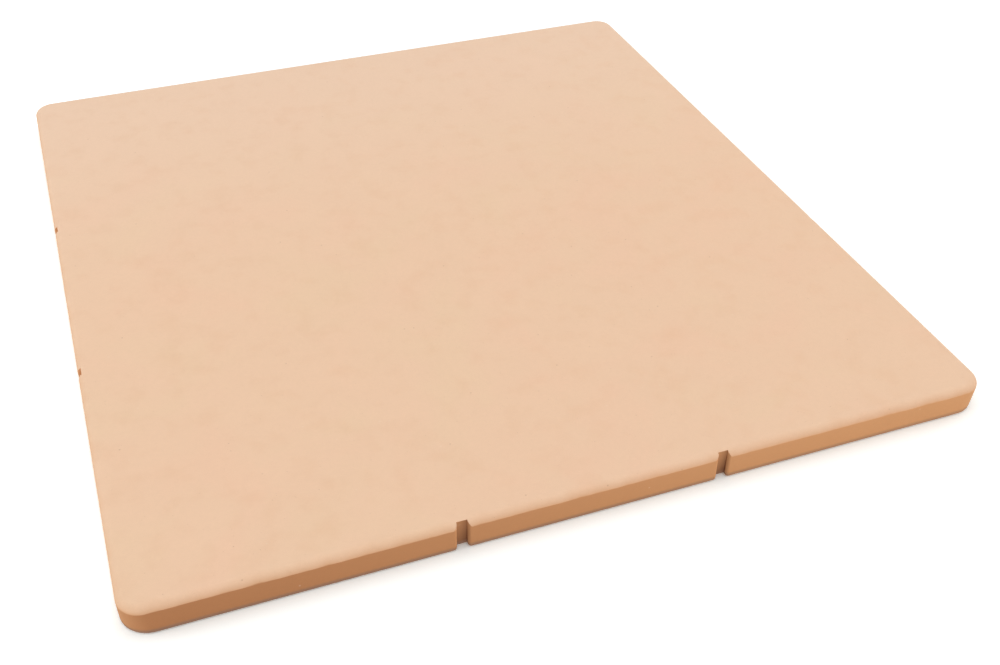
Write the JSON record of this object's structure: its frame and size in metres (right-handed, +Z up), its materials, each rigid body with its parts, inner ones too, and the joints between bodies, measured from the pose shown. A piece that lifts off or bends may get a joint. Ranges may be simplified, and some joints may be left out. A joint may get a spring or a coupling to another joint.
{
  "type": "pizza stone",
  "caption": "Rectangular fired-stone baking slab with rounded corners, soft rims and short relief slots in each edge.",
  "frame": {"origin": "middle of the underside, on the surface that the slab rests on", "axes": "+X along the shorter edge, +Y along the longer edge, away from the viewer, +Z up through the thickness"},
  "size_m": [0.38, 0.416, 0.015],
  "materials": {
    "fired_stone": "matte, unglazed"
  },
  "bodies": {
    "root": {"stone_slab": "fired_stone"}
  },
  "joints": []
}
